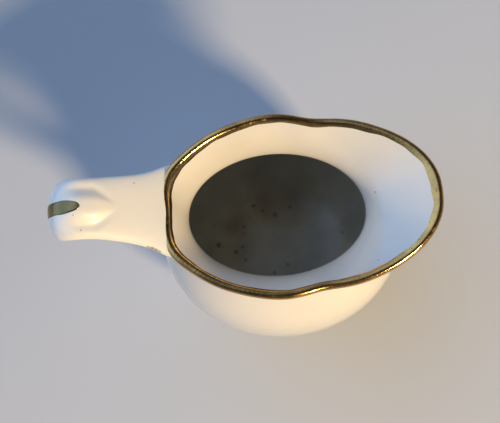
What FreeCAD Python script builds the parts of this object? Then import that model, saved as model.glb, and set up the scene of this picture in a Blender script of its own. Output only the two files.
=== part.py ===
"""Porcelain cream jug: an oval slip-cast body with a cusped, spouted collar, a foot ring, a strap handle
stuck on with slip at both ends, and fired gilding on the rim and down the handle's spine.

Frame, in millimetres: the origin is the middle of the foot on the table, +X points to the spout, the handle
is on -X, +Z is up. The body is symmetric about the XZ plane; the handle sits a little towards +Y.
"""

import math
import os

import FreeCAD, Part

Vector = FreeCAD.Vector

# ---- driving dimensions -------------------------------------------------------------------------------
WALL = 2.3              # wall thickness of the body at the rim and collar
FOOT_HEIGHT = 3.4       # height of the foot ring, which is also where the body's underside lies
FOOT_WALL = 2.8         # width of the foot ring's foot, across the ring
FOOT_FLARE = 0.7        # how far the foot ring spreads between its top and the table
FLOOR_Z = 6.2           # height of the jug's inner floor
NECK_Z = 61.5           # height of the narrowest part of the neck
NECK_X = -2.3           # the neck's centre, set back towards the handle
LUTE_LENGTH = 1.6       # length of each slip joint along the handle
LUTE_FLARE = 1.3        # how far the slip spreads out on the body, all round the handle's end
SLIP_BITE = 0.3         # how far the slip's blank dips under the handle's surface past its own length
COLLAR_LOW = (-32.0, 67.6)      # two points on the collar's outer skin behind the handle: x, z
COLLAR_TOP = (-34.9, 73.1)
COLLAR_ROUNDING = 0.011         # how fast the collar curves away from the handle, per mm
BELLY_X = 38.1          # the belly's half length behind the handle's lower end
BELLY_ROUNDING = 0.017  # how fast the belly curves away from the handle, per mm
GOLD = 0.14             # thickness the gilding is given, so that it is a solid
GOLD_STRIPE = 3.8       # width of the gilt stripe on the handle
STRIPE_TOP_X = -56.7    # the stripe's pointed tip on the thumb rest
STRIPE_LOW_Z = 44.0     # the stripe's pointed tip on the lower leg
STRIPE_TOP_POINT = 3.6  # length of the point at each end
STRIPE_LOW_POINT = 6.0
GOLD_BURIED = 0.4       # how deep the gilding's blank goes under the surface before it is trimmed
BAND_DOWN_OUTSIDE = 0.25        # how far the rim's gilding goes past the lip, in rows of the collar
BAND_DOWN_INSIDE = 0.75

# The body's outer skin from the foot to the neck: half length, half width and height.
BODY_STATIONS = [
    (23.0, 20.2, FOOT_HEIGHT),
    (23.5, 20.7, 5.0),
    (28.2, 24.8, 9.5),
    (34.9, 30.6, 19.0),
    (38.1, 33.5, 33.0),
    (35.6, 30.7, 46.0),
    (30.1, 24.2, 55.5),
    (28.1, 20.4, NECK_Z),
]
# The jug's inner skin from the neck down to the edge of the flat floor, in the same terms.
INSIDE_STATIONS = [
    (25.8, 18.1, NECK_Z),
    (27.6, 21.8, 55.5),
    (33.0, 28.1, 46.0),
    (35.4, 30.8, 33.0),
    (32.2, 27.9, 19.0),
    (26.2, 22.8, 10.3),
    (20.0, 17.4, 7.0),
    (15.0, 13.0, FLOOR_Z),
]
# The rim's outer edge on the +Y side, from the flat end at the handle to the spout's tip. The third number
# is its height. The low point between the wide lobe and the spout is the cusp.
RIM_POINTS = [
    (-34.9, 0.0, 73.1),
    (-34.8, 7.0, 73.1),
    (-33.2, 11.5, 73.2),
    (-28.5, 16.5, 73.4),
    (-20.0, 22.0, 73.6),
    (-11.0, 25.1, 73.8),
    (-2.5, 26.3, 73.8),
    (4.1, 25.5, 73.5),
    (8.0, 24.6, 73.1),
    (10.8, 24.3, 73.0),
    (18.0, 23.5, 73.5),
    (25.8, 21.0, 74.2),
    (33.2, 17.0, 74.9),
    (39.4, 11.1, 75.5),
    (42.3, 5.3, 75.8),
    (42.9, 0.0, 75.9),
]
# The handle's middle line, from inside the collar's wall, over the thumb rest and down to inside the belly:
# x, y, z, width across the hand and thickness. The hand-fixed handle stands a little towards +Y.
HANDLE_STATIONS = [
    (-29.5, 0.6, 71.6, 29.0, 4.4),
    (-34.3, 0.75, 73.1, 25.6, 4.4),
    (-38.0, 0.95, 74.3, 22.3, 4.5),
    (-43.0, 1.25, 75.9, 19.6, 4.6),
    (-48.5, 1.5, 77.6, 18.1, 4.8),
    (-53.6, 1.6, 79.1, 17.2, 5.4),
    (-58.9, 1.6, 79.7, 17.2, 6.6),
    (-62.1, 1.6, 77.3, 16.4, 7.6),
    (-62.6, 1.6, 72.6, 13.8, 6.6),
    (-61.4, 1.7, 66.2, 10.7, 5.4),
    (-58.4, 1.9, 57.6, 8.2, 5.0),
    (-54.0, 1.9, 49.2, 7.6, 4.9),
    (-47.4, 1.9, 41.6, 7.4, 5.0),
    (-41.0, 1.8, 37.4, 8.6, 5.2),
    (-35.0, 1.6, 34.8, 10.2, 5.8),
]
TONGUE_RISE = 1.0       # how far the thumb rest's tongue stands up
TONGUE_HALF_WIDTH = 5.3 # from the tongue's middle to the bottom of the flute beside it
FLUTE_DEPTH = 0.55      # depth of the hollow on each side of the tongue
FLUTE_WIDTH = 1.3
TONGUE_START_X = -47.0  # where the tongue's pointed end rises out of the strap
TONGUE_FULL_X = -54.0   # where it reaches its full width
TONGUE_FADE_X = -56.5   # where tongue and flutes start to fade into the thumb rest's round end
TONGUE_END_X = -61.0    # where they are gone

AROUND = 120            # control points round a body section
SIDE_ROWS = 26          # control rows up the belly, outside and inside
COLLAR_ROWS = 12        # control rows up the collar, outside and inside
FLARE_POWER = 1.6       # how late the collar turns outwards
SECTION_POINTS = 56     # control points round the handle's section
HANDLE_ROWS = 90        # control rows along the handle
STRAP_SQUARENESS = 2.8  # of the handle's section on the strap: 2 is an ellipse
LEG_SQUARENESS = 2.1    # of its section beyond the thumb rest


# ---- surfaces from rows of control points -------------------------------------------------------------
def spline_through(points):
    """A smooth open curve through the points."""
    curve = Part.BSplineCurve()
    curve.interpolate([Vector(*p) for p in points])
    return curve


def evenly(curve, count):
    """Points evenly spaced in the curve's parameter, both ends included."""
    first, last = curve.FirstParameter, curve.LastParameter
    return [curve.value(first + (last - first) * i / (count - 1)) for i in range(count)]


def ring_surface(rows):
    """A cubic surface whose control points are the rows, each a closed loop. Its ends are the end rows."""
    count, around = len(rows), len(rows[0])
    poles = [[row[i] for row in rows] for i in range(around)]
    row_knots = list(range(count - 2))
    row_mults = [4] + [1] * (count - 4) + [4]
    surface = Part.BSplineSurface()
    surface.buildFromPolesMultsKnots(
        poles, [1] * (around + 1), row_mults, list(range(around + 1)), row_knots, True, False, 3, 3
    )
    return surface


def solid_of(faces):
    """One closed solid from faces that meet along their edges."""
    shell = Part.makeShell(faces)
    shell.sewShape()
    solid = Part.makeSolid(Part.Shell(shell.Faces))
    if solid.Volume < 0:
        solid.reverse()
    return solid


def end_edges(face):
    """The two closed edges at the ends of a ring surface's face, without its seam."""
    return [e for e in face.Edges if e.isClosed()]


def capped(rows):
    """A solid inside a ring surface whose first and last rows are flat."""
    side = ring_surface(rows).toShape()
    caps = [Part.Face(Part.Wire([e])) for e in end_edges(side)]
    return solid_of([side] + caps)


# ---- the body's shape ---------------------------------------------------------------------------------
def oval(centre_x, half_length, half_width, z):
    """An oval row of control points, starting on +X."""
    turns = [2 * math.pi * i / AROUND for i in range(AROUND)]
    return [Vector(centre_x + half_length * math.cos(t), half_width * math.sin(t), z) for t in turns]


def belly_rows(stations):
    """Rows between the foot and the neck. The centre slides back to the neck's over the upper belly."""
    widest_z = 33.0
    rows = []
    for p in evenly(spline_through(stations), SIDE_ROWS):
        share = max(0.0, (p.z - widest_z) / (NECK_Z - widest_z))
        rows.append(oval(NECK_X * share * share * (3 - 2 * share), p.x, p.y, p.z))
    return rows


def rim_row():
    """The rim's outer edge as a row of control points, at the same turns about the neck as an oval's."""
    other_side = [(x, -y, z) for x, y, z in RIM_POINTS[-2:0:-1]]
    edge = Part.BSplineCurve()
    edge.interpolate([Vector(*p) for p in RIM_POINTS + other_side], PeriodicFlag=True)
    samples = []
    for p in evenly(edge, 3001)[:-1]:
        samples.append((math.atan2(p.y, p.x - NECK_X) % (2 * math.pi), p))
    samples.sort(key=lambda s: s[0])
    row = []
    for i in range(AROUND):
        half_length, half_width = BODY_STATIONS[-1][0], BODY_STATIONS[-1][1]
        turn = 2 * math.pi * i / AROUND
        aim = math.atan2(half_width * math.sin(turn), half_length * math.cos(turn)) % (2 * math.pi)
        row.append(min(samples, key=lambda s: abs(s[0] - aim))[1])
    return row


def mirrored(row):
    """The row made exactly symmetric about the XZ plane."""
    out = []
    for i, p in enumerate(row):
        q = row[-i % len(row)]
        out.append(Vector((p.x + q.x) / 2, (p.y - q.y) / 2, (p.z + q.z) / 2))
    return out


def collar_rows():
    """Outer rows from just above the neck to the rim's edge, flaring like a trumpet."""
    neck = oval(NECK_X, BODY_STATIONS[-1][0], BODY_STATIONS[-1][1], NECK_Z)
    rim = mirrored(rim_row())
    rows = []
    for k in range(1, COLLAR_ROWS + 1):
        rise = k / COLLAR_ROWS
        spread = rise ** FLARE_POWER
        rows.append(
            [
                Vector(n.x + (r.x - n.x) * spread, n.y + (r.y - n.y) * spread, n.z + (r.z - n.z) * rise)
                for n, r in zip(neck, rim)
            ]
        )
    return rows


def normals(below, row, above):
    """Outward unit normals of a row that has the rows below and above it."""
    out = []
    for i in range(len(row)):
        along = row[(i + 1) % len(row)] - row[i - 1]
        up = above[i] - below[i]
        out.append(along.cross(up).normalize())
    return out


def lip_rows(below, edge):
    """Rows over the rounded lip, from the outer edge to the inner one, and the middle of the wall there."""
    outward = normals(below, edge, [e + (e - b) for e, b in zip(edge, below)])
    upward = [(e - b).normalize() for e, b in zip(edge, below)]
    half = WALL / 2
    middle = [e - n * half for e, n in zip(edge, outward)]
    rows = []
    for degrees in (30, 60, 90, 120, 150, 180):
        c, s = math.cos(math.radians(degrees)), math.sin(math.radians(degrees))
        rows.append([m + n * (half * c) + u * (half * s) for m, n, u in zip(middle, outward, upward)])
    return rows


def body_rows():
    """Every row of the body's skin: up the outside, over the lip and down the inside to the floor."""
    outside = belly_rows(BODY_STATIONS)
    collar = collar_rows()
    lip = lip_rows(collar[-2], collar[-1])
    skin = [outside[-1]] + collar
    inner_collar = []
    for k in range(len(collar) - 1, 0, -1):
        outward = normals(skin[k - 1], skin[k], skin[k + 1])
        inner_collar.append([p - n * WALL for p, n in zip(skin[k], outward)])
    inside = belly_rows(INSIDE_STATIONS)
    floor_edge = oval(0.0, 12.0, 10.4, FLOOR_Z)
    return outside, collar, lip, inner_collar, inside + [floor_edge]


def make_body():
    outside, collar, lip, inner_collar, inside = body_rows()
    return capped(outside + collar + lip + inner_collar + inside)


def make_core():
    """A block from the middle of the body's wall inwards, open to the sky at the lip's crest. It trims
    whatever is stuck on the outside of the body, so that nothing of it shows inside."""
    half = WALL / 2
    rows = belly_rows([(a - half, b - half, z) for a, b, z in BODY_STATIONS])
    crest = lip_rows(*collar_rows()[-2:])[3]
    neck = rows[-1]
    for k in range(1, COLLAR_ROWS + 1):
        rise = k / COLLAR_ROWS
        spread = rise ** FLARE_POWER
        rows.append([n + (c - n) * spread for n, c in zip(neck, crest)])
        for point, n, c in zip(rows[-1], neck, crest):
            point.z = n.z + (c.z - n.z) * rise
    top_z = 90.0
    for share in (0.05, 0.1, 0.4, 0.7, 1.0):
        rows.append([Vector(p.x, p.y, p.z + (top_z - p.z) * share) for p in crest])
    return capped(rows)


# ---- foot ring ----------------------------------------------------------------------------------------
def make_foot_ring():
    """The oval ring that the jug stands on, with a flat foot and rounded edges."""
    half_length, half_width = BODY_STATIONS[0][0], BODY_STATIONS[0][1]
    soft = 0.6

    def ring_row(inset, z):
        turns = [2 * math.pi * i / AROUND for i in range(AROUND)]
        return [Vector((half_length - inset) * math.cos(t), (half_width - inset) * math.sin(t), z) for t in turns]

    outside = [ring_row(-FOOT_FLARE * (FOOT_HEIGHT - z) / FOOT_HEIGHT, z) for z in (FOOT_HEIGHT, 2.7, 2.0, 1.3)]
    outside += [ring_row(-FOOT_FLARE, soft), ring_row(-FOOT_FLARE, 0.15), ring_row(-FOOT_FLARE + soft, 0.0)]
    inside = [ring_row(FOOT_WALL - soft, 0.0), ring_row(FOOT_WALL, 0.15), ring_row(FOOT_WALL, soft)]
    inside += [ring_row(FOOT_WALL, z) for z in (1.3, 2.0, 2.7, FOOT_HEIGHT)]
    skins = [ring_surface(outside).toShape(), ring_surface(inside).toShape()]
    faces = list(skins)
    for z in (0.0, FOOT_HEIGHT):
        edges = [e for s in skins for e in end_edges(s) if abs(e.BoundBox.ZMax - z) < 1e-6]
        wires = sorted([Part.Wire([e]) for e in edges], key=lambda w: -w.BoundBox.XLength)
        faces.append(Part.Face(wires))
    return solid_of(faces)


# ---- handle -------------------------------------------------------------------------------------------
def ease(value, start, end):
    """0 before start, 1 after end, smooth between them."""
    share = min(1.0, max(0.0, (value - start) / (end - start)))
    return share * share * (3 - 2 * share)


def handle_frames(count):
    """Along the handle: the middle, the outward direction, the width and the thickness."""
    spine = spline_through([(x, y, z) for x, y, z, w, t in HANDLE_STATIONS])
    sizes = Part.BSplineCurve()
    marks = [spine.parameter(Vector(x, y, z)) for x, y, z, w, t in HANDLE_STATIONS]
    sizes.interpolate([Vector(w, t, 0.0) for x, y, z, w, t in HANDLE_STATIONS], Parameters=marks)
    frames = []
    for i in range(count):
        mark = marks[0] + (marks[-1] - marks[0]) * i / (count - 1)
        middle, tangent = spine.value(mark), spine.tangent(mark)[0]
        outward = Vector(0, 1, 0).cross(tangent).normalize()
        size = sizes.value(mark)
        frames.append((middle, outward, size.x, size.y))
    return frames


def squareness(middle):
    """The power of the section's superellipse. The strap is squarer than the thumb rest and the leg."""
    strap = ease(middle.x, -60.0, -48.0) * ease(middle.z, 60.0, 70.0)
    return LEG_SQUARENESS + (STRAP_SQUARENESS - LEG_SQUARENESS) * strap


def thumb_relief(middle, across):
    """How far the outer face stands up or sinks at a distance across the strap: tongue and flutes."""
    grown = ease(-middle.x, -TONGUE_START_X, -TONGUE_FULL_X)
    half = TONGUE_HALF_WIDTH * (0.35 + 0.65 * grown)
    tongue = TONGUE_RISE * math.exp(-((across / (half * 0.62)) ** 4))
    flute = FLUTE_DEPTH * math.exp(-(((abs(across) - half) / FLUTE_WIDTH) ** 2))
    kept = 1 - ease(-middle.x, -TONGUE_FADE_X, -TONGUE_END_X)
    return (tongue - flute) * grown * kept * ease(middle.z, 68.0, 79.0)


def handle_section(frame, spread=0.0):
    """One section of the handle as a row. spread moves its surface outwards on every side."""
    middle, outward, width, thickness = frame
    power = squareness(middle)
    row = []
    for i in range(SECTION_POINTS):
        turn = 2 * math.pi * i / SECTION_POINTS
        c, s = math.cos(turn), math.sin(turn)
        across = (width / 2 + spread) * math.copysign(abs(c) ** (2 / power), c)
        away = (thickness / 2 + spread) * math.copysign(abs(s) ** (2 / power), s)
        away += thumb_relief(middle, across) * max(0.0, s) ** 0.5
        row.append(middle + Vector(0, across, 0) + outward * away)
    return row


def make_handle_blank(spread=0.0):
    """The handle before its ends are trimmed to the body."""
    return capped([handle_section(f, spread) for f in handle_frames(HANDLE_ROWS)])


def biggest(shape):
    """The largest solid of a shape that a cut has left in pieces."""
    return max(shape.Solids, key=lambda s: s.Volume)


def make_handle(body, core, blank):
    """The strap, ending on the body's skin at both ends."""
    return biggest(blank.cut(core).cut(body))


# ---- slip joints --------------------------------------------------------------------------------------
def beyond_collar(point):
    """How far a point lies outside the collar's wall, near the handle."""
    run, rise = COLLAR_TOP[0] - COLLAR_LOW[0], COLLAR_TOP[1] - COLLAR_LOW[1]
    length = math.hypot(run, rise)
    x = point.x - COLLAR_ROUNDING * point.y * point.y
    return ((COLLAR_LOW[0] - x) * rise + (point.z - COLLAR_LOW[1]) * run) / length


def beyond_belly(point):
    """How far a point lies outside the belly's wall, near the handle."""
    return -BELLY_X - point.x - BELLY_ROUNDING * point.y * point.y


def slip_spread(distance):
    """How far the slip stands out from the handle at a distance from the body. It dips under the handle's
    surface beyond its own length."""
    share = min(1.0, max(0.0, distance / LUTE_LENGTH))
    return (LUTE_FLARE + SLIP_BITE) * (1 - share) ** 2 - SLIP_BITE


def slip_section(frame, distance_of, top_bare):
    """A section of the handle's slip joint. With top_bare the slip leaves the outer face alone."""
    middle, outward, width, thickness = frame
    row = []
    for p in handle_section(frame):
        offset = p - middle
        across, away = offset.y, offset.dot(outward)
        spread = slip_spread(distance_of(p))
        reach = Vector(0, across / (width / 2), 0) * spread
        lift = away / (thickness / 2) * spread
        if top_bare and away > 0:
            lift = -SLIP_BITE * away / (thickness / 2)
        row.append(p + reach + outward * lift)
    return row


def make_slip_joint(frames, distance_of, top_bare, blank, body, core):
    """The slip squeezed out round one end of the handle."""
    seam = SECTION_POINTS // 5
    rows = [slip_section(f, distance_of, top_bare) for f in frames]
    rows = [row[seam:] + row[:seam] for row in rows]
    return biggest(capped(rows).cut(blank).cut(core).cut(body))


# ---- gilding ------------------------------------------------------------------------------------------
def make_gilt_rim_band(handle):
    """The gilding over the lip, a thin ring on the body's own surface, hidden where the handle covers it."""
    outside, collar, lip, inner_collar, inside = body_rows()
    rows = collar[-7:] + lip + inner_collar[:7]
    raised = [rows[0]]
    for k in range(1, len(rows) - 1):
        outward = normals(rows[k - 1], rows[k], rows[k + 1])
        raised.append([p + n * GOLD for p, n in zip(rows[k], outward)])
    raised.append(rows[-1])
    start, end = 6 - 1 - BAND_DOWN_OUTSIDE, 6 + len(lip) - 1 + BAND_DOWN_INSIDE
    skins = [ring_surface(r).toShape(0, AROUND, start, end) for r in (rows, raised)]
    edges = [end_edges(s) for s in skins]
    sides = [Part.makeRuledSurface(a, b) for a, b in zip(*edges)]
    return biggest(solid_of(skins + sides).cut(handle))


def outer_face_height(frame, across):
    """Height of the strap's outer face over its middle line at a distance across it."""
    middle, outward, width, thickness = frame
    power = squareness(middle)
    fullness = (1 - abs(2 * across / width) ** power) ** (1 / power)
    return thickness / 2 * fullness + thumb_relief(middle, across)


def stripe_section(frame, half_width):
    """A thin closed row that lies half in and half on the strap's outer face."""
    middle, outward, width, thickness = frame
    steps = 8
    across = [half_width * (1 - 2 * i / steps) for i in range(steps + 1)]
    over = [middle + Vector(0, y, 0) + outward * (outer_face_height(frame, y) + GOLD) for y in across]
    under = [middle + Vector(0, y, 0) + outward * (outer_face_height(frame, y) - GOLD_BURIED) for y in across]
    return over + under[::-1]


def make_gilt_handle_stripe(blank):
    """The gilt stripe over the thumb rest and down the outside of the handle, pointed at both ends."""
    frames = [f for f in handle_frames(4 * HANDLE_ROWS) if f[0].x < STRIPE_TOP_X or f[0].z < 60]
    frames = [f for f in frames if f[0].z > STRIPE_LOW_Z]
    travel = [0.0]
    for a, b in zip(frames, frames[1:]):
        travel.append(travel[-1] + (b[0] - a[0]).Length)
    rows = []
    for frame, far in zip(frames, travel):
        top = min(1.0, far / STRIPE_TOP_POINT)
        low = min(1.0, (travel[-1] - far) / STRIPE_LOW_POINT)
        half_width = GOLD_STRIPE / 2 * math.sqrt(0.02 + 0.98 * min(top * (2 - top), low * (2 - low)))
        rows.append(stripe_section(frame, half_width))
    return biggest(capped(rows).cut(blank))


def main():
    os.makedirs("parts", exist_ok=True)
    body = make_body()
    core = make_core()
    blank = make_handle_blank()
    frames = handle_frames(4 * HANDLE_ROWS)
    handle = make_handle(body, core, blank)
    upper = [f for f in frames[3:] if f[0].z > 60 and f[0].x > -42]
    lower = [f for f in frames[:-3] if f[0].z < 60 and f[0].x > -43]
    parts = {
        "jug_body": body,
        "foot_ring": make_foot_ring(),
        "handle": handle,
        "upper_handle_joint": make_slip_joint(upper, beyond_collar, True, blank, body, core),
        "lower_handle_joint": make_slip_joint(lower, beyond_belly, False, blank, body, core),
        "gilt_rim_band": make_gilt_rim_band(handle),
        "gilt_handle_stripe": make_gilt_handle_stripe(blank),
    }
    for name, shape in parts.items():
        shape.exportStep("parts/" + name + ".step")


main()
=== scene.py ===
"""Looks for a small porcelain cream jug with a gilded rim and a strap handle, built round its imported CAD."""

import math

import bmesh
import bpy
import numpy as np
from mathutils import Matrix, Vector
from mathutils.bvhtree import BVHTree


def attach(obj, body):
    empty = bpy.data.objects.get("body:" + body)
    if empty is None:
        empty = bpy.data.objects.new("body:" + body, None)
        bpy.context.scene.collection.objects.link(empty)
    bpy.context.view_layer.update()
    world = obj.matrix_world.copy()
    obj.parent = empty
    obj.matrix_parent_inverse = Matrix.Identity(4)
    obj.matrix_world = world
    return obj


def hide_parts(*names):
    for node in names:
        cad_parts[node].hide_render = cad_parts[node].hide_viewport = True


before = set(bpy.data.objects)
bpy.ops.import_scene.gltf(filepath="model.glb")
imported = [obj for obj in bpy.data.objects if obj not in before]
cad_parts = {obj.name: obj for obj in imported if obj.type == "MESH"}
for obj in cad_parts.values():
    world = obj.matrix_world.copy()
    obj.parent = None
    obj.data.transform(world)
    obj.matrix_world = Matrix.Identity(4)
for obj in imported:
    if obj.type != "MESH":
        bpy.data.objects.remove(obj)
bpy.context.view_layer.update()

MM = 0.001
ACROSS = np.array([0.0, 1.0, 0.0])  # the direction across the strap

# ---- the jug's shape, in millimetres, the same as the CAD's ---------------------------------------------
WALL = 2.3
FOOT_HEIGHT = 3.4
NECK_Z = 61.5
NECK_X = -2.3
WIDEST_Z = 33.0
COLLAR_ROWS = 12
FLARE_POWER = 1.6

# half length, half width and height of the outside, from the foot up
BODY_STATIONS = [
    (23.0, 20.2, FOOT_HEIGHT),
    (23.5, 20.7, 5.0),
    (28.2, 24.8, 9.5),
    (34.9, 30.6, 19.0),
    (38.1, 33.5, 33.0),
    (35.6, 30.7, 46.0),
    (30.1, 24.2, 55.5),
    (28.1, 20.4, NECK_Z),
]
FLOOR_Z = 6.2
# the same for the inside, from the neck down
INSIDE_STATIONS = [
    (25.8, 18.1, NECK_Z),
    (27.6, 21.8, 55.5),
    (33.0, 28.1, 46.0),
    (35.4, 30.8, 33.0),
    (32.2, 27.9, 19.0),
    (26.2, 22.8, 10.3),
    (20.0, 17.4, 7.0),
    (15.0, 13.0, FLOOR_Z),
]
FLOOR_OVAL = (12.0, 10.4)
# one side of the rim, from the handle to the spout's tip
RIM_POINTS = [
    (-34.9, 0.0, 73.1),
    (-34.8, 7.0, 73.1),
    (-33.2, 11.5, 73.2),
    (-28.5, 16.5, 73.4),
    (-20.0, 22.0, 73.6),
    (-11.0, 25.1, 73.8),
    (-2.5, 26.3, 73.8),
    (4.1, 25.5, 73.5),
    (8.0, 24.6, 73.1),
    (10.8, 24.3, 73.0),
    (18.0, 23.5, 73.5),
    (25.8, 21.0, 74.2),
    (33.2, 17.0, 74.9),
    (39.4, 11.1, 75.5),
    (42.3, 5.3, 75.8),
    (42.9, 0.0, 75.9),
]
# x, y and z of the handle's middle line, then the section's width and thickness
HANDLE_STATIONS = [
    (-29.5, 0.6, 71.6, 29.0, 4.4),
    (-34.3, 0.75, 73.1, 25.6, 4.4),
    (-38.0, 0.95, 74.3, 22.3, 4.5),
    (-43.0, 1.25, 75.9, 19.6, 4.6),
    (-48.5, 1.5, 77.6, 18.1, 4.8),
    (-53.6, 1.6, 79.1, 17.2, 5.4),
    (-58.9, 1.6, 79.7, 17.2, 6.6),
    (-62.1, 1.6, 77.3, 16.4, 7.6),
    (-62.6, 1.6, 72.6, 13.8, 6.6),
    (-61.4, 1.7, 66.2, 10.7, 5.4),
    (-58.4, 1.9, 57.6, 8.2, 5.0),
    (-54.0, 1.9, 49.2, 7.6, 4.9),
    (-47.4, 1.9, 41.6, 7.4, 5.0),
    (-41.0, 1.8, 37.4, 8.6, 5.2),
    (-35.0, 1.6, 34.8, 10.2, 5.8),
]
TONGUE_RISE = 1.0
TONGUE_HALF_WIDTH = 5.3
FLUTE_DEPTH = 0.55
FLUTE_WIDTH = 1.3
TONGUE_START_X = -47.0
TONGUE_FULL_X = -54.0
TONGUE_FADE_X = -56.5
TONGUE_END_X = -61.0
STRAP_SQUARENESS = 2.8
LEG_SQUARENESS = 2.1

JOINT_REACH = 1.7  # how far the slip runs out on the handle and on the body
LIP_REACH = 0.35  # the same where the strap ends on the lip
LIFT = 0.14  # how far the gilding stands on the glaze
SUNK = 0.2  # how far the gilding's back lies in the glaze
STRIPE_TOP_X = -56.7
STRIPE_LEG_Z = 60.0  # below this the stripe is on the leg, whatever its x
STRIPE_LOW_Z = 44.0
STRIPE_HALF_WIDTH = 1.9
STRIPE_TOP_TAPER = 3.6
STRIPE_LOW_TAPER = 6.0
FOOT_FLARE = 0.7
FOOT_WALL = 2.8
FOOT_SOFT = 0.6
SHADE_AND_CREAM_TOP_Z = 64.0  # the inside's painted shade, with cream's stains and duller coat, starts here
SHADE_AND_CREAM_FULL_Z = 52.0  # and is full from here down

# ---- how fine the meshes are ----------------------------------------------------------------------------
AROUND = 120  # control points round the body
AROUND_FINE = 3  # mesh columns per control point
ROWS_FINE = 3  # mesh rows per control row
FOOT_AROUND = 240
STRAP_AROUND = 128  # mesh columns round the handle
STRAP_ROWS = 460  # rows along the handle before trimming
STRAP_MESH_ROWS = 260  # rows along it after trimming
JOINT_ROWS = 14  # mesh rows across a slip joint
BAND_ROWS = 20  # mesh rows across the rim's gilding
BAND_FINE = 8  # steps per control row in the surface that the gilding lies on
STRIPE_ROWS = 170
STRIPE_COLUMNS = 14
CREASE = math.radians(50)  # edges that turn more than this stay sharp


# ---- curves and surfaces --------------------------------------------------------------------------------
def unit(v):
    return v / np.linalg.norm(v, axis=-1, keepdims=True)


def ease(value, start, end):
    """0 at start and 1 at end, with a smooth rise between, and clamped outside."""
    share = np.clip((np.asarray(value, float) - start) / (end - start), 0.0, 1.0)
    return share * share * (3 - 2 * share)


def spline(values, marks, periodic=False):
    """A cubic spline through the values at the marks, as a function of an array of marks."""
    n, h = len(marks), np.diff(marks)
    a, b = np.zeros((n, n)), np.zeros((n, values.shape[1]))
    slope = np.diff(values, axis=0) / h[:, None]
    for i in range(1, n - 1):
        a[i, i - 1], a[i, i], a[i, i + 1] = h[i - 1], 2 * (h[i - 1] + h[i]), h[i]
        b[i] = 6 * (slope[i] - slope[i - 1])
    a[0, 0] = a[n - 1, n - 1] = 1.0
    if periodic:
        a[0, 0], a[0, 1], a[0, n - 2] = 2 * (h[0] + h[-1]), h[0], h[-1]
        b[0] = 6 * (slope[0] - slope[-1])
        a[n - 1, 0] = -1.0
    bend = np.linalg.solve(a, b)

    def at(t):
        i = np.clip(np.searchsorted(marks, t, side="right") - 1, 0, n - 2)
        u, w, k = (marks[i + 1] - t)[:, None], (t - marks[i])[:, None], h[i][:, None]
        return (
            (bend[i] * u**3 + bend[i + 1] * w**3) / (6 * k)
            + (values[i] / k - bend[i] * k / 6) * u
            + (values[i + 1] / k - bend[i + 1] * k / 6) * w
        )

    return at


def curve_through(points, periodic=False):
    """A cubic spline through the points, with marks spaced as the points are, and those marks."""
    values = np.array(points, float)
    if periodic:
        values = np.vstack([values, values[:1]])
    marks = np.concatenate([[0.0], np.cumsum(np.linalg.norm(np.diff(values, axis=0), axis=1))])
    return spline(values, marks, periodic), marks


def evenly(points, count):
    """Points spaced evenly by mark along the spline through the given ones."""
    at, marks = curve_through(points)
    return at(np.linspace(0, marks[-1], count))


def blend4(t):
    """The four cubic B-spline weights at t between two knots."""
    return np.array([(1 - t) ** 3, 3 * t**3 - 6 * t**2 + 4, -3 * t**3 + 3 * t**2 + 3 * t + 1, t**3]) / 6


def finer_rings(rows, per_row, per_column):
    """A finer grid on the cubic surface whose control points are the closed rows."""
    rows = np.array(rows)
    ends = [2 * rows[0] - rows[1], 2 * rows[-1] - rows[-2]]
    padded = np.concatenate([ends[:1], rows, ends[1:]])
    out = []
    for k in range(len(rows) - 1):
        steps = range(per_row + 1) if k == len(rows) - 2 else range(per_row)
        for j in steps:
            w = blend4(j / per_row)
            out.append(sum(w[i] * padded[k + i] for i in range(4)))
    grid = np.array(out)
    columns = []
    for j in range(per_column):
        w = blend4(j / per_column)
        columns.append(sum(w[i] * np.roll(grid, 1 - i, axis=1) for i in range(4)))
    fine = np.stack(columns, axis=2)
    return fine.reshape(grid.shape[0], -1, 3)


# ---- the body's rows ------------------------------------------------------------------------------------
TURNS = 2 * np.pi * np.arange(AROUND) / AROUND


def oval(centre_x, half_length, half_width, z):
    """A level oval row of control points."""
    x = centre_x + half_length * np.cos(TURNS)
    return np.stack([x, half_width * np.sin(TURNS), np.full(AROUND, z)], axis=1)


def belly_rows(stations, count=26):
    """Oval rows through the stations, drawn back a little towards the handle as they rise to the neck."""
    rows = []
    for a, b, z in evenly(stations, count):
        share = max(0.0, (z - WIDEST_Z) / (NECK_Z - WIDEST_Z))
        rows.append(oval(NECK_X * share * share * (3 - 2 * share), a, b, z))
    return rows


def rim_row():
    """The rim, the same on both sides, with its control points in line with the neck's."""
    other_side = [(x, -y, z) for x, y, z in RIM_POINTS[-2:0:-1]]
    at, marks = curve_through(RIM_POINTS + other_side, periodic=True)
    samples = at(np.linspace(0, marks[-1], 6001)[:-1])
    angle = np.arctan2(samples[:, 1], samples[:, 0] - NECK_X)
    half_length, half_width = BODY_STATIONS[-1][:2]
    row = []
    for t in TURNS:
        aim = math.atan2(half_width * math.sin(t), half_length * math.cos(t))
        gap = np.abs((angle - aim + np.pi) % (2 * np.pi) - np.pi)
        row.append(samples[gap.argmin()])
    row = np.array(row)
    twin = np.roll(row[::-1], 1, axis=0) * [1, -1, 1]
    return (row + twin) / 2


def collar_rows():
    """Rows that flare from the neck to the rim."""
    neck = oval(NECK_X, BODY_STATIONS[-1][0], BODY_STATIONS[-1][1], NECK_Z)
    rim = rim_row()
    rows = []
    for k in range(1, COLLAR_ROWS + 1):
        rise = k / COLLAR_ROWS
        row = neck + (rim - neck) * rise**FLARE_POWER
        row[:, 2] = neck[:, 2] + (rim[:, 2] - neck[:, 2]) * rise
        rows.append(row)
    return rows


def normals(below, row, above):
    """Directions out of the wall along a row, from the rows on either side of it."""
    along = np.roll(row, -1, axis=0) - np.roll(row, 1, axis=0)
    return unit(np.cross(along, above - below))


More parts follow.
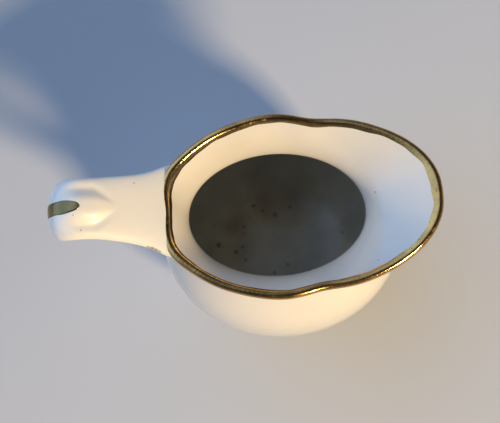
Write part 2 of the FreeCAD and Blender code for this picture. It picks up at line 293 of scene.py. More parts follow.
def lip_rows(below, edge):
    """Rows over the rounded lip."""
    outward = normals(below, edge, 2 * edge - below)
    upward = unit(edge - below)
    half = WALL / 2
    middle = edge - outward * half
    rows = []
    for degrees in (30, 60, 90, 120, 150, 180):
        c, s = math.cos(math.radians(degrees)), math.sin(math.radians(degrees))
        rows.append(middle + outward * half * c + upward * half * s)
    return rows


def body_rows():
    """The shell's rows: up the outside and the collar, over the lip, and down the inside to the floor."""
    outside = belly_rows(BODY_STATIONS)
    collar = collar_rows()
    lip = lip_rows(collar[-2], collar[-1])
    skin = [outside[-1]] + collar
    inner = []
    for k in range(len(collar) - 1, 0, -1):
        inner.append(skin[k] - normals(skin[k - 1], skin[k], skin[k + 1]) * WALL)
    inside = belly_rows(INSIDE_STATIONS) + [oval(0.0, *FLOOR_OVAL, FLOOR_Z)]
    return outside, collar, lip, inner, inside


# ---- meshes ---------------------------------------------------------------------------------------------
def new_object(name, vertices, faces, material):
    """A smooth-shaded object from vertices in millimetres."""
    me = bpy.data.meshes.new(name)
    me.from_pydata([tuple(v) for v in np.asarray(vertices) * MM], [], faces)
    me.update()
    me.polygons.foreach_set("use_smooth", [True] * len(me.polygons))
    me.materials.append(material)
    ob = bpy.data.objects.new(name, me)
    bpy.context.scene.collection.objects.link(ob)
    return ob


def ring_faces(rows, around):
    """Quads between closed rows."""
    faces = []
    for r in range(rows - 1):
        for c in range(around):
            d = (c + 1) % around
            a, b = r * around, (r + 1) * around
            faces.append((a + c, a + d, b + d, b + c))
    return faces


def disc_rows(row, centre, steps=10):
    """Rows that shrink from a closed row to a small ring about the centre."""
    return [centre + (row - centre) * (1 - k / (steps + 0.5)) for k in range(1, steps + 1)]


def turn_outwards(ob):
    """Turns the faces of a closed mesh outwards and keeps its creases sharp."""
    bm = bmesh.new()
    bm.from_mesh(ob.data)
    bmesh.ops.recalc_face_normals(bm, faces=bm.faces)
    bm.to_mesh(ob.data)
    bm.free()
    ob.data.set_sharp_from_angle(angle=CREASE)


def capped_tube(name, rows, ends, material):
    """A closed mesh from closed rows, with a fan to a middle point at each end."""
    around = len(rows[0])
    vertices = np.concatenate(list(rows) + [np.array(ends)])
    faces = ring_faces(len(rows), around)
    last = (len(rows) - 1) * around
    for c in range(around):
        d = (c + 1) % around
        faces.append((len(vertices) - 2, d, c))
        faces.append((len(vertices) - 1, last + c, last + d))
    return new_object(name, vertices, faces, material)


def closed_band(name, rows, material):
    """A closed mesh from closed rows that come back to the first one."""
    around = len(rows[0])
    faces = ring_faces(len(rows), around)
    last = (len(rows) - 1) * around
    for c in range(around):
        d = (c + 1) % around
        faces.append((last + c, last + d, d, c))
    ob = new_object(name, np.concatenate(rows), faces, material)
    turn_outwards(ob)
    return ob


# ---- jug body -------------------------------------------------------------------------------------------
def make_body(material):
    """The shell as one closed skin. Its vertex attribute for the inside is 1 low inside the jug, where it gets
    painted shade as well as cream's stains, and fades out above that."""
    outside, collar, lip, inner, inside = body_rows()
    grid = finer_rings(outside + collar + lip + inner + inside, ROWS_FINE, AROUND_FINE)
    centre_low = np.array([0.0, 0.0, FOOT_HEIGHT])
    centre_high = np.array([0.0, 0.0, grid[-1, 0, 2]])
    under = disc_rows(grid[0], centre_low)[::-1]
    over = disc_rows(grid[-1], centre_high)
    rows = under + list(grid) + over
    shell = capped_tube("jug_shell", rows, [centre_low, centre_high], material)
    first_inside = len(under) + (len(outside + collar + lip + inner) - 1) * ROWS_FINE
    height = np.concatenate(rows + [[centre_low, centre_high]])[:, 2]
    is_inside = np.arange(len(height)) >= first_inside * grid.shape[1]
    is_inside[-2] = False  # the middle of the underside
    # painted shade: this mask darkens the inside's colour, and also places cream's stains and duller coat
    mark = shell.data.attributes.new("inside_shade_and_cream", "FLOAT", "POINT")
    mark.data.foreach_set("value", is_inside * ease(-height, -SHADE_AND_CREAM_TOP_Z, -SHADE_AND_CREAM_FULL_Z))
    return shell


# ---- handle ---------------------------------------------------------------------------------------------
def handle_frames(count):
    """Middles, outward directions, and widths and thicknesses along the handle."""
    spine, marks = curve_through([(x, y, z) for x, y, z, w, t in HANDLE_STATIONS])
    sizes = np.array([(w, t) for x, y, z, w, t in HANDLE_STATIONS])
    size_at = spline(sizes, marks)
    t = np.linspace(0, marks[-1], count)
    middle = spine(t)
    tangent = unit(np.gradient(middle, axis=0))
    outward = unit(np.cross(ACROSS, tangent))
    return middle, outward, size_at(t)


def squareness(middle):
    """The section's superellipse power: squarer on the strap, rounder down the leg."""
    strap = ease(middle[0], -60.0, -48.0) * ease(middle[2], 60.0, 70.0)
    return LEG_SQUARENESS + (STRAP_SQUARENESS - LEG_SQUARENESS) * strap


def thumb_relief(middle, across):
    """The tongue and the flutes beside it on the strap's outer face."""
    grown = ease(-middle[0], -TONGUE_START_X, -TONGUE_FULL_X)
    half = TONGUE_HALF_WIDTH * (0.35 + 0.65 * grown)
    tongue = TONGUE_RISE * np.exp(-((across / (half * 0.62)) ** 4))
    flute = FLUTE_DEPTH * np.exp(-(((np.abs(across) - half) / FLUTE_WIDTH) ** 2))
    kept = 1 - ease(-middle[0], -TONGUE_FADE_X, -TONGUE_END_X)
    return (tongue - flute) * grown * kept * ease(middle[2], 68.0, 79.0)


def handle_section(middle, outward, size, turns):
    """One closed row round the handle, with the thumb rest's relief on its outer half."""
    power = squareness(middle)
    c, s = np.cos(turns), np.sin(turns)
    across = size[0] / 2 * np.sign(c) * np.abs(c) ** (2 / power)
    away = size[1] / 2 * np.sign(s) * np.abs(s) ** (2 / power)
    away = away + thumb_relief(middle, across) * np.maximum(0.0, s) ** 0.5
    return middle + across[:, None] * ACROSS + away[:, None] * outward


def section_turns(count):
    """Turns spaced so that the columns stay even round a squarish section, typical of the strap's."""
    half_width, half_thickness, power = 8.0, 2.6, 2.6
    fine = np.linspace(0, 2 * np.pi, 4001)
    c, s = np.cos(fine), np.sin(fine)
    x = half_width * np.sign(c) * np.abs(c) ** (2 / power)
    y = half_thickness * np.sign(s) * np.abs(s) ** (2 / power)
    along = np.concatenate([[0], np.cumsum(np.hypot(np.diff(x), np.diff(y)))])
    return np.interp(np.linspace(0, along[-1], count + 1)[:-1], along, fine)


class Body:
    """Answers how far a point lies outside the jug's shell."""

    NEAR_CREST = 0.4  # from this far under the lip's crest, a point over the mouth counts as inside

    def __init__(self, shell):
        me = shell.data
        self.tree = BVHTree.FromPolygons([v.co for v in me.vertices], [p.vertices for p in me.polygons])
        crest = lip_rows(*collar_rows()[-2:])[3]
        angle = np.arctan2(crest[:, 1], crest[:, 0])
        order = angle.argsort()
        self.angle, self.crest = angle[order], crest[order]

    def nearest(self, p):
        """The nearest place on the shell, and the direction out of it there."""
        place, normal, index, gap = self.tree.find_nearest(Vector(p * MM))
        return np.array(place) / MM, np.array(normal)

    def gap(self, p):
        """The distance outside the shell, below zero within the wall or over the mouth."""
        place, normal = self.nearest(p)
        away = float(np.linalg.norm(p - place))
        signed = away if np.dot(p - place, normal) > 0 else -away
        a = math.atan2(p[1], p[0])
        crest_z = np.interp(a, self.angle, self.crest[:, 2], period=2 * np.pi)
        if p[2] > crest_z - self.NEAR_CREST:
            reach = np.interp(a, self.angle, np.hypot(self.crest[:, 0], self.crest[:, 1]), period=2 * np.pi)
            signed = min(signed, math.hypot(p[0], p[1]) - reach)
        return signed


def end_of_column(column, body, wanted):
    """Marks along a column, from the handle's middle to its end, where its gap to the body has sunk to each
    wanted value, or where the gap is least, for a column that stays outside."""
    found, gaps = [], []
    for i, p in enumerate(column):
        gaps.append(body.gap(p))
        while len(found) < len(wanted) and gaps[-1] <= wanted[len(found)]:
            w = wanted[len(found)]
            share = 0.0 if i == 0 else (gaps[-2] - w) / max(1e-9, gaps[-2] - gaps[-1])
            found.append(max(0.0, i - 1 + share))
        if len(found) == len(wanted):
            return found
    return found + [float(np.argmin(gaps))] * (len(wanted) - len(found))


def on_column(column, mark):
    """The point at a mark that may lie between two of the column's points."""
    i = min(int(mark), len(column) - 2)
    return column[i] + (column[i + 1] - column[i]) * (mark - i)


def joint_reach(turns, upper):
    """How far the slip reaches at each column: hardly at all where the strap's top ends on the lip."""
    if not upper:
        return np.full(len(turns), JOINT_REACH)
    on_top = ease(np.sin(turns), -0.2, 0.75)
    return JOINT_REACH + (LIP_REACH - JOINT_REACH) * on_top


def trimmed_ends(grid, middle, body, turns, upper):
    """For one end of the handle: each column's mark where the slip starts, the meeting points with the body,
    and the points where the slip runs out on the body."""
    reach = joint_reach(turns, upper)
    half = len(grid) // 2
    marks, meets, outs = [], [], []
    for c in range(grid.shape[1]):
        column = grid[: half + 1, c][::-1] if upper else grid[half:, c]
        start, meet = end_of_column(column, body, (reach[c], 0.0))
        x = on_column(column, meet)
        if body.gap(x) > 0.01:
            x = body.nearest(x)[0]
        centre = middle[half - int(meet)] if upper else middle[half + int(meet)]
        place, normal = body.nearest(x)
        away = x - centre
        away = away - normal * np.dot(away, normal)
        out, _ = body.nearest(x + unit(away) * reach[c])
        marks.append(half - start if upper else half + start)
        meets.append(x)
        outs.append(out)
    return np.array(marks), np.array(meets), np.array(outs)


def run_on(rows, count=12):
    """The rows carried straight on past both ends, so that every column meets the body."""
    steps = np.arange(1, count + 1).reshape((-1,) + (1,) * (rows.ndim - 1))
    before = rows[0] - (rows[1] - rows[0]) * steps[::-1]
    after = rows[-1] + (rows[-1] - rows[-2]) * steps
    return np.concatenate([before, rows, after])


def smoothed_ring(values, passes):
    """Values round a ring, each averaged with its neighbours."""
    for _ in range(passes):
        values = (np.roll(values, 1, axis=0) + 2 * values + np.roll(values, -1, axis=0)) / 4
    return values


def make_slip(name, first, meets, outs, centre, material):
    """The slip fillet: hollow-curved from the handle to the body, closed behind."""
    t = (1 - np.cos(np.linspace(0, np.pi, JOINT_ROWS))) / 2
    rows = [first * (1 - k) ** 2 + meets * 2 * k * (1 - k) + outs * k**2 for k in t]
    for row, inwards in ((outs, 0.5), (meets, 0.6), (first, 0.4)):
        rows.append(row + unit(centre - row) * inwards)
    return closed_band(name, rows, material)


def make_handle(body, material):
    """The strap, trimmed where the slip starts at each end, and the two slip joints."""
    middle, outward, size = handle_frames(STRAP_ROWS)
    turns = section_turns(STRAP_AROUND)
    grid = np.array([handle_section(m, o, s, turns) for m, o, s in zip(middle, outward, size)])
    middle, grid = run_on(middle), run_on(grid)
    up_marks, up_meets, up_outs = trimmed_ends(grid, middle, body, turns, True)
    low_marks, low_meets, low_outs = trimmed_ends(grid, middle, body, turns, False)
    up_marks = smoothed_ring(up_marks, 2)
    low_marks = smoothed_ring(low_marks, 2)
    share = np.linspace(0, 1, STRAP_MESH_ROWS)[:, None]
    marks = up_marks * (1 - share) + low_marks * share
    index = np.clip(marks.astype(int), 0, len(grid) - 2)
    column = np.arange(grid.shape[1])[None, :]
    part = (marks - index)[..., None]
    skin = grid[index, column] * (1 - part) + grid[index + 1, column] * part
    ends = [middle[int(up_marks.mean())], middle[int(low_marks.mean())]]
    rows = disc_rows(skin[0], ends[0], 4)[::-1] + list(skin) + disc_rows(skin[-1], ends[1], 4)
    strap = capped_tube("handle_strap", rows, ends, material)
    turn_outwards(strap)
    upper = make_slip("upper_slip_joint", skin[0], up_meets, up_outs, ends[0], material)
    lower = make_slip("lower_slip_joint", skin[-1], low_meets, low_outs, ends[1], material)
    return strap, upper, lower


# ---- gilding --------------------------------------------------------------------------------------------
def hump(turn, middle, half):
    """1 at the middle direction round the rim, sinking to 0 at half turns away from it."""
    away = np.abs((turn - middle + np.pi) % (2 * np.pi) - np.pi)
    return 1 - ease(away, 0.0, half)


def band_edges(turn):
    """Where the rim's gilding starts on the outside and ends on the inside, in control rows: 6 is the lip's
    outer edge and 12 its inner one. It is wider inside by the handle and narrower outside by the spout."""
    wobble = 0.10 * np.sin(7 * turn + 1.0) + 0.07 * np.sin(17 * turn) + 0.05 * np.sin(31 * turn + 2.0)
    start = 5.75 + 0.6 * wobble + 0.45 * hump(turn, -0.5, 0.7)
    end = 12.55 + wobble + 0.9 * hump(turn, 2.7, 0.9) + 0.5 * hump(turn, -2.9, 0.7)
    return start, end


def make_rim_band(material):
    """The gilding over the lip: a thin band on the shell's own surface, feathered at both edges."""
    outside, collar, lip, inner, inside = body_rows()
    grid = finer_rings(collar[-7:] + lip + inner[:7], BAND_FINE, AROUND_FINE)
    across = np.gradient(grid, axis=0)
    along = np.roll(grid, -1, axis=1) - np.roll(grid, 1, axis=1)
    normal = unit(np.cross(along, across))
    around = grid.shape[1]
    start, end = band_edges(2 * np.pi * np.arange(around) / around)
    column = np.arange(around)
    out, back = [], []
    for k in range(BAND_ROWS):
        share = k / (BAND_ROWS - 1)
        mark = (start + (end - start) * share) * BAND_FINE
        index = mark.astype(int)
        part = (mark - index)[:, None]
        base = grid[index, column] * (1 - part) + grid[index + 1, column] * part
        n = unit(normal[index, column] * (1 - part) + normal[index + 1, column] * part)
        lift = LIFT * min(1.0, 6 * min(share, 1 - share)) ** 0.5
        out.append(base + n * lift)
        back.append(base - n * SUNK)
    return closed_band("rim_gilding", out + back[::-1], material)


def stripe_half_width(from_top, to_end, mark):
    """Half the stripe's width: rounded in at both ends, with a hand's small unevenness along it."""
    top = min(1.0, (from_top + 0.02) / STRIPE_TOP_TAPER)
    low = min(1.0, (to_end + 0.02) / STRIPE_LOW_TAPER)
    half = STRIPE_HALF_WIDTH * math.sqrt(max(0.004, min(top * (2 - top), low * (2 - low))))
    return half * (1 + 0.03 * math.sin(0.9 * mark) + 0.02 * math.sin(2.3 * mark + 1))


def make_stripe(material):
    """The gilt stripe over the thumb rest and down the outside of the handle, pointed at both ends."""
    middle, outward, size = handle_frames(1400)
    x, z = middle[:, 0], middle[:, 2]
    keep = ((x < STRIPE_TOP_X) | (z < STRIPE_LEG_Z)) & (z > STRIPE_LOW_Z)
    middle, outward, size = middle[keep], outward[keep], size[keep]
    travel = np.concatenate([[0], np.cumsum(np.linalg.norm(np.diff(middle, axis=0), axis=1))])
    picks = np.interp(np.linspace(0, 1, STRIPE_ROWS), [0, 0.12, 0.88, 1], [0, 0.05, 0.92, 1])
    rows = []
    for mark in picks * travel[-1]:
        i = min(int(np.searchsorted(travel, mark)), len(travel) - 1)
        half = stripe_half_width(travel[i], travel[-1] - travel[i], mark)
        y = np.linspace(half, -half, STRIPE_COLUMNS)
        power = squareness(middle[i])
        height = size[i, 1] / 2 * (1 - np.abs(2 * y / size[i, 0]) ** power) ** (1 / power)
        height = height + thumb_relief(middle[i], y)
        lift = LIFT * np.minimum(1.0, 4 * (1 - np.abs(y) / half)) ** 0.5
        flat = middle[i] + y[:, None] * ACROSS
        over = flat + (height + lift)[:, None] * outward[i]
        under = flat + (height - SUNK)[:, None] * outward[i]
        rows.append(np.concatenate([over, under[::-1]]))
    around = len(rows[0])
    faces = ring_faces(len(rows), around)
    faces.append(tuple(range(around))[::-1])
    faces.append(tuple((len(rows) - 1) * around + c for c in range(around)))
    ob = new_object("handle_gilding", np.concatenate(rows), faces, material)
    turn_outwards(ob)
    return ob


# ---- foot ring ------------------------------------------------------------------------------------------
def make_foot(material):
    """The foot ring: flared out downwards, rounded underneath, a little uneven from the fettling."""
    half_length, half_width = BODY_STATIONS[0][:2]
    turns = 2 * np.pi * np.arange(FOOT_AROUND) / FOOT_AROUND
    wobble = 0.05 * np.sin(5 * turns) + 0.04 * np.sin(11 * turns + 1)

    def row(inset, z):
        length, width = half_length - inset + wobble, half_width - inset + wobble
        return np.stack([length * np.cos(turns), width * np.sin(turns), np.full(len(turns), z)], axis=1)

    levels = np.linspace(FOOT_HEIGHT, 1.0, 7)
    quarter = np.linspace(0, math.pi / 2, 8)
    profile = [(-FOOT_FLARE * (FOOT_HEIGHT - z) / FOOT_HEIGHT, z) for z in levels]
    for a in quarter:
        profile.append((-FOOT_FLARE + FOOT_SOFT * (1 - math.cos(a)), FOOT_SOFT * (1 - math.sin(a))))
    for a in quarter[::-1]:
        profile.append((FOOT_WALL - FOOT_SOFT * (1 - math.cos(a)), FOOT_SOFT * (1 - math.sin(a))))
    profile += [(FOOT_WALL, z) for z in levels[::-1]]
    return closed_band("foot_rim", [row(inset, z) for inset, z in profile], material)


# ---- node trees -----------------------------------------------------------------------------------------
class Nodes:
    """Adds nodes to one tree and links them."""

    def __init__(self, tree):
        self.tree = tree

    def node(self, kind, **settings):
        made = self.tree.nodes.new(kind)
        for key, value in settings.items():
            setattr(made, key, value)
        return made

    def join(self, value, socket):
        """Links an output to an input, or sets the input when the value is a constant."""
        if isinstance(value, bpy.types.NodeSocket):
            self.tree.links.new(value, socket)
        else:
            socket.default_value = value

    def ramp(self, value, low, high, first=0.0, last=1.0):
        """Maps low..high to first..last smoothly, and holds outside."""
        made = self.node("ShaderNodeMapRange", interpolation_type="SMOOTHSTEP")
        self.join(value, made.inputs["Value"])
        made.inputs["From Min"].default_value = low
        made.inputs["From Max"].default_value = high
        made.inputs["To Min"].default_value = first
        made.inputs["To Max"].default_value = last
        return made.outputs["Result"]

    def maths(self, operation, a, b):
        made = self.node("ShaderNodeMath", operation=operation)
        self.join(a, made.inputs[0])
        self.join(b, made.inputs[1])
        return made.outputs["Value"]

    def times(self, a, b):
        return self.maths("MULTIPLY", a, b)

    def mix(self, share, a, b):
        made = self.node("ShaderNodeMix", data_type="RGBA")
        self.join(share, made.inputs["Factor"])
        self.join(a, made.inputs["A"])
        self.join(b, made.inputs["B"])
        return made.outputs["Result"]


class Shader(Nodes):
    """Builds one procedural material, laid out in the object's own coordinates."""

    def __init__(self, name):
        self.material = bpy.data.materials.new(name)
        self.material.use_nodes = True
        super().__init__(self.material.node_tree)
        self.surface = self.tree.nodes["Principled BSDF"]
        self.place = self.node("ShaderNodeTexCoord").outputs["Object"]

    def stretched(self, scale):
        made = self.node("ShaderNodeMapping")
        self.join(self.place, made.inputs["Vector"])
        made.inputs["Scale"].default_value = scale
        return made.outputs["Vector"]

    def noise(self, scale, detail=2.0, vector=None):
        made = self.node("ShaderNodeTexNoise")
        self.join(vector or self.place, made.inputs["Vector"])
        made.inputs["Scale"].default_value = scale
        made.inputs["Detail"].default_value = detail
        return made.outputs["Fac"]

    def specks(self, scale, radius, share):
        """Small round specks scattered one to a cell, in the given share of the cells."""
        made = self.node("ShaderNodeTexVoronoi")
        self.join(self.place, made.inputs["Vector"])
        made.inputs["Scale"].default_value = scale
        chosen = self.node("ShaderNodeSeparateColor")
        self.join(made.outputs["Color"], chosen.inputs["Color"])
        near = self.ramp(made.outputs["Distance"], radius * 0.6, radius, 1.0, 0.0)
        picked = self.ramp(chosen.outputs["Red"], 1.0 - share, 1.0 - share + 0.01)
        return self.times(near, picked)

    def spot(self, centre, radius, soft=0.3):
        """A soft round spot about a point of the object, in millimetres."""
        made = self.node("ShaderNodeVectorMath", operation="DISTANCE")
        self.join(self.place, made.inputs[0])
        made.inputs[1].default_value = [c * MM for c in centre]
        return self.ramp(made.outputs["Value"], radius * soft * MM, radius * MM, 1.0, 0.0)

    def height(self):
        made = self.node("ShaderNodeSeparateXYZ")
        self.join(self.place, made.inputs["Vector"])
        return made.outputs["Z"]

    def bump(self, value, strength, distance):
        made = self.node("ShaderNodeBump")
        made.inputs["Strength"].default_value = strength
        made.inputs["Distance"].default_value = distance
        self.join(value, made.inputs["Height"])
        self.join(made.outputs["Normal"], self.surface.inputs["Normal"])

    def finish(self, **inputs):
        """Sets the surface's inputs, named with _ for each space."""
        for key, value in inputs.items():
            self.join(value, self.surface.inputs[key.replace("_", " ")])
        return self.material


# ---- materials ------------------------------------------------------------------------------------------
# painted shade: the body's glaze is the handle's glaze painted darker
SHADED_PALE_BODY = (0.74, 0.69, 0.61, 1)
SHADED_DEEP_BODY = (0.68, 0.64, 0.57, 1)
PALE_STRAP = (0.86, 0.81, 0.71, 1)
DEEP_STRAP = (0.80, 0.76, 0.68, 1)
WARM_CLOUD = (0.80, 0.71, 0.57, 1)
IRON = (0.16, 0.11, 0.07, 1)
DARK_IRON = (0.07, 0.05, 0.035, 1)
# painted shade for the inside below the throat
PAINTED_INSIDE_SHADE = (0.41, 0.42, 0.38, 1)
BROWN_FILM = (0.22, 0.17, 0.11, 1)
BROWN_STAIN = (0.17, 0.10, 0.05, 1)
BROWN_FLECK = (0.12, 0.08, 0.04, 1)
BRIGHT_GOLD = (0.64, 0.37, 0.12, 1)
BROWN_GOLD = (0.44, 0.26, 0.09, 1)
# painted dark reflection: the stripe's gold is the rim's gold painted darker
SHADED_GOLD = (0.30, 0.21, 0.08, 1)
SHADED_BROWN_GOLD = (0.17, 0.13, 0.06, 1)
WORN_GOLD = (0.24, 0.17, 0.09, 1)
PITTED_GOLD = (0.10, 0.08, 0.05, 1)
PALE_BISQUE = (0.78, 0.73, 0.64, 1)
DEEP_BISQUE = (0.66, 0.61, 0.53, 1)
GRIME = (0.36, 0.31, 0.25, 1)
PALE_TABLE = (0.50, 0.52, 0.56, 1)
DEEP_TABLE = (0.48, 0.50, 0.54, 1)

# specks and stains: where, radius, depth of colour
INSIDE_SPECKS = [
    ((-8.1, 15.0, 6.8), 0.9, 0.58),
    ((4.7, 13.8, 6.4), 0.9, 0.58),
    ((-0.7, 11.4, 6.2), 1.3, 0.50),
    ((-4.8, 13.1, 6.3), 0.9, 0.43),
    ((-11.9, 7.9, 6.3), 1.0, 0.43),
    ((-21.1, 1.7, 7.4), 1.4, 0.65),
    ((-15.3, -1.0, 6.3), 1.1, 0.65),
    ((-12.9, 0.6, 6.2), 0.9, 0.50),
    ((-12.1, -4.0, 6.2), 0.9, 0.43),
    ((2.5, -6.6, 6.2), 0.9, 0.50),
    ((-2.4, -9.1, 6.2), 1.0, 0.50),
    ((22.3, 3.1, 8.0), 0.8, 0.43),
    ((26.1, 3.4, 67.3), 0.5, 0.43),
    ((24.1, -17.3, 73.8), 0.4, 0.43),
]
STAINS = [
    ((-14.5, 9.0, 6.6), 7.5, 0.55),
    ((-4.0, 14.5, 6.5), 9.0, 0.40),
    ((6.0, 17.0, 7.5), 8.0, 0.35),
    ((-13.0, -1.0, 6.2), 6.5, 0.40),
    ((-11.0, 3.5, 6.2), 6.0, 0.35),
]
# the last four run together into a brown streak by the upper joint
STRAP_SPECKS = [
    ((-42.0, 8.4, 77.6), 0.38, 0.55),
    ((-56.5, -4.8, 81.7), 0.38, 0.5),
    ((-58.2, -0.8, 83.4), 0.3, 0.5),
    ((-39.2, -9.6, 75.2), 0.8, 0.60),
    ((-38.2, -10.1, 75.0), 1.0, 0.75),
    ((-37.2, -10.7, 74.8), 1.0, 0.80),
    ((-36.3, -11.2, 74.5), 0.9, 0.75),
]
FLECKS_MIDDLE, FLECKS_REACH = (-10.0, 6.0, 6.5), 20.0


def stained(m, colour, shade_and_cream):
    """The glaze's colour with painted shade inside and cream's clouds, stains and flecks, as far as the mask
    says.
    """
    # painted shade: the inside's colour darkened towards the dim grey of its shade
    colour = m.mix(m.times(shade_and_cream, 0.9), colour, PAINTED_INSIDE_SHADE)
    cloud = m.ramp(m.noise(75.0, 5.0), 0.42, 0.66)
    low = m.ramp(m.height(), 0.009, 0.030, 0.35, 0.0)
    colour = m.mix(m.times(m.times(cloud, low), shade_and_cream), colour, BROWN_FILM)
    for centre, radius, depth in STAINS:
        mottle = m.ramp(m.noise(110.0, 4.0), 0.25, 0.6, 0.5, 1.0)
        patch = m.times(m.spot(centre, radius, 0.05), mottle)
        colour = m.mix(m.times(m.times(patch, depth), shade_and_cream), colour, BROWN_STAIN)
    flecks = m.times(m.specks(420.0, 0.26, 0.35), m.spot(FLECKS_MIDDLE, FLECKS_REACH, 0.1))
    return m.mix(m.times(m.times(flecks, 0.35), shade_and_cream), colour, BROWN_FLECK)


def make_glaze(name, pale, deep, placed, shaded_and_stained_inside):
    """Warm ivory glaze: a clear coat over the paste, a few iron specks and, low inside, painted shade with
    cream's stains.
    """
    m = Shader(name)
    colour = m.mix(m.ramp(m.noise(28.0, 3.0), 0.35, 0.65), pale, deep)
    colour = m.mix(m.ramp(m.noise(9.0), 0.45, 0.75, 0.0, 0.35), colour, WARM_CLOUD)
    colour = m.mix(m.times(m.specks(120.0, 0.032, 0.16), 0.6), colour, IRON)
    gloss = 1.0
    if shaded_and_stained_inside:
        # the mask for the inside's painted shade, cream's stains and duller coat
        shade_and_cream = m.node("ShaderNodeAttribute", attribute_name="inside_shade_and_cream").outputs["Fac"]
        gloss = m.ramp(shade_and_cream, 0.0, 1.0, 1.0, 0.15)
        colour = stained(m, colour, shade_and_cream)
    for centre, radius, depth in placed:
        colour = m.mix(m.times(m.spot(centre, radius), depth), colour, DARK_IRON)
    m.bump(m.noise(55.0, 1.0), 0.25, 0.0012)
    return m.finish(
        Base_Color=colour,
        Roughness=m.ramp(m.noise(90.0), 0.3, 0.7, 0.32, 0.42),
        Coat_Weight=gloss,
        Coat_Roughness=m.ramp(m.noise(140.0, 3.0), 0.3, 0.7, 0.03, 0.07),
        Coat_IOR=1.52,
        Subsurface_Weight=0.12,
        Subsurface_Scale=0.003,
    )


def make_gilding(name, bright, brown):
    """Fired gold, brushed on: browned, streaked along the rim, rubbed thin in places."""
    m = Shader(name)
    colour = m.mix(m.ramp(m.noise(160.0, 4.0), 0.35, 0.65), bright, brown)
    worn = m.ramp(m.noise(420.0, 6.0), 0.60, 0.72)
    colour = m.mix(m.times(worn, 0.6), colour, WORN_GOLD)
    colour = m.mix(m.times(m.specks(900.0, 0.22, 0.22), 0.7), colour, PITTED_GOLD)
    streaks = m.noise(300.0, 4.0, m.stretched((0.35, 0.35, 1.6)))
    rough = m.maths("ADD", m.ramp(streaks, 0.35, 0.7, 0.11, 0.22), m.times(worn, 0.2))
    m.bump(m.maths("ADD", m.noise(1300.0, 3.0), m.times(streaks, 0.6)), 0.20, 0.0003)
    return m.finish(Base_Color=colour, Metallic=1.0, Roughness=rough)


def make_bisque(name):
    """The bare foot: matt, a little grey from use."""
    m = Shader(name)
    colour = m.mix(m.ramp(m.noise(120.0, 5.0), 0.35, 0.7), PALE_BISQUE, DEEP_BISQUE)
    grime = m.ramp(m.height(), 0.0002, 0.0016, 0.5, 0.0)
    colour = m.mix(m.times(grime, m.ramp(m.noise(60.0, 4.0), 0.3, 0.7)), colour, GRIME)
    m.bump(m.noise(900.0, 3.0), 0.3, 0.0002)
    return m.finish(Base_Color=colour, Roughness=m.ramp(m.noise(200.0), 0.3, 0.7, 0.75, 0.9))


def make_tabletop(name):
    """The plain pale table under the jug."""
    m = Shader(name)
    colour = m.mix(m.ramp(m.noise(6.0, 2.0), 0.3, 0.7), PALE_TABLE, DEEP_TABLE)
    return m.finish(Base_Color=colour, Roughness=0.7)


# ---- camera, floor and light ----------------------------------------------------------------------------
# millimetres for the camera, metres for the floor and the lamp
CAMERA_TURN = math.radians(-4.0)  # round the jug, from straight in front
CAMERA_RISE = math.radians(78.0)
CAMERA_DEPTH = 266.0  # from the throat's middle, along the view
THROAT = (-3.0, 0.0, 74.3)
THROAT_RIGHT = 7.28  # how far the throat's middle stands to the right of the view's middle
THROAT_ABOVE = 1.736  # and how far above it
SENSOR_WIDTH = 36.0
LENS = 68.4
FLOOR_HALF = 3.0
KEY_PLACE = (0.80, -1.02, 0.94)
KEY_SIZE = (0.26, 0.20)
KEY_POWER = 32.0
KEY_COLOUR = (1.0, 0.77, 0.46)
HORIZON = (0.12, 0.15, 0.21, 1)
ZENITH = (0.035, 0.034, 0.030, 1)
GLOW = (0.80, 1.18, 1.85, 1)
GLOW_TOWARDS = (-0.75, 0.38, 0.42)


def place_camera():
    level = math.cos(CAMERA_RISE)
    back = Vector((math.sin(CAMERA_TURN) * level, -math.cos(CAMERA_TURN) * level, math.sin(CAMERA_RISE)))
    right = Vector((math.cos(CAMERA_TURN), math.sin(CAMERA_TURN), 0.0))
    up = back.cross(right)
    data = bpy.data.cameras.new("camera")
    data.sensor_width = SENSOR_WIDTH
    data.lens = LENS
    data.clip_start, data.clip_end = 0.01, 20.0
    ob = bpy.data.objects.new("camera", data)
    bpy.context.scene.collection.objects.link(ob)
    ob.location = (Vector(THROAT) + back * CAMERA_DEPTH - right * THROAT_RIGHT - up * THROAT_ABOVE) * MM
    ob.rotation_mode = "QUATERNION"
    ob.rotation_quaternion = Matrix((right, up, back)).transposed().to_quaternion()
    bpy.context.scene.camera = ob


def make_floor():
    me = bpy.data.meshes.new("floor")
    s = FLOOR_HALF
    me.from_pydata([(-s, -s, 0), (s, -s, 0), (s, s, 0), (-s, s, 0)], [], [(0, 1, 2, 3)])
    ob = bpy.data.objects.new("floor", me)
    bpy.context.scene.collection.objects.link(ob)
    me.materials.append(make_tabletop("table"))


def area_light(name, place, size, power, colour):
    """A rectangular lamp, aimed at the middle of the jug."""
    data = bpy.data.lights.new(name, "AREA")
    data.shape = "RECTANGLE"
    data.size, data.size_y = size
    data.energy = power
    data.color = colour
    ob = bpy.data.objects.new(name, data)
    bpy.context.scene.collection.objects.link(ob)
    ob.location = place
    ob.rotation_mode = "QUATERNION"
    ob.rotation_quaternion = (Vector((0, 0, 0.05)) - Vector(place)).to_track_quat("-Z", "Y")


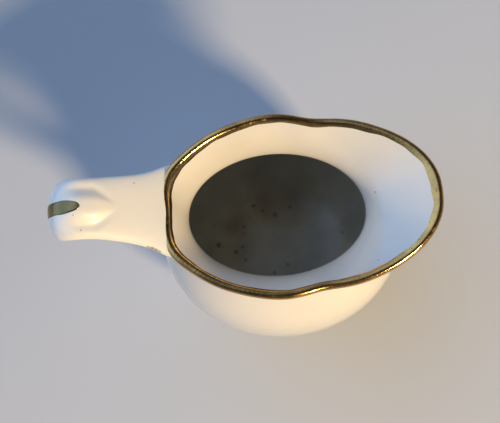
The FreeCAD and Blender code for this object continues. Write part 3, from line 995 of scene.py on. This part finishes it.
def make_sky():
    """A plain room: cool round the horizon, dim overhead, with one side of it bright and cool."""
    world = bpy.data.worlds.new("room")
    bpy.context.scene.world = world
    world.use_nodes = True
    sky = Nodes(world.node_tree)
    place = sky.node("ShaderNodeTexCoord").outputs["Generated"]

    def towards(direction, low, high):
        """Rises from 0 to 1 nearer the direction, between the cosines low and high."""
        made = sky.node("ShaderNodeVectorMath", operation="DOT_PRODUCT")
        sky.join(place, made.inputs[0])
        sky.join(Vector(direction).normalized(), made.inputs[1])
        return sky.ramp(made.outputs["Value"], low, high)

    overhead = sky.mix(towards((0, 0, 1), 0.25, 0.85), HORIZON, ZENITH)
    lit = sky.mix(towards(GLOW_TOWARDS, 0.35, 1.0), overhead, GLOW)
    sky.join(lit, sky.tree.nodes["Background"].inputs["Color"])


# ---- the jug and its scene ------------------------------------------------------------------------------
# the body gets the handle's glaze with painted shade in its colours
porcelain = make_glaze("glazed_porcelain", SHADED_PALE_BODY, SHADED_DEEP_BODY, INSIDE_SPECKS, True)
strap_glaze = make_glaze("handle_porcelain", PALE_STRAP, DEEP_STRAP, STRAP_SPECKS, False)
gold = make_gilding("gilding", BRIGHT_GOLD, BROWN_GOLD)
# the stripe gets the rim's gilding with a painted dark reflection
shaded_gold = make_gilding("shaded_gilding", SHADED_GOLD, SHADED_BROWN_GOLD)
bisque = make_bisque("bare_porcelain")

shell = make_body(porcelain)
strap, upper_slip, lower_slip = make_handle(Body(shell), strap_glaze)
rim_band = make_rim_band(gold)
stripe = make_stripe(shaded_gold)
foot = make_foot(bisque)

for piece, node, slot in (
    (shell, "jug_body", "glazed_porcelain"),
    (strap, "handle", "handle_porcelain"),
    (upper_slip, "upper_handle_joint", "handle_porcelain"),
    (lower_slip, "lower_handle_joint", "handle_porcelain"),
    (rim_band, "gilt_rim_band", "gilding"),
    (stripe, "gilt_handle_stripe", "gilding"),
    (foot, "foot_ring", "unglazed_porcelain"),
):
    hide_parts(node)
    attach(piece, "root")

place_camera()
make_floor()
area_light("warm_key", KEY_PLACE, KEY_SIZE, KEY_POWER, KEY_COLOUR)
make_sky()

bpy.context.scene.view_settings.view_transform = "Standard"
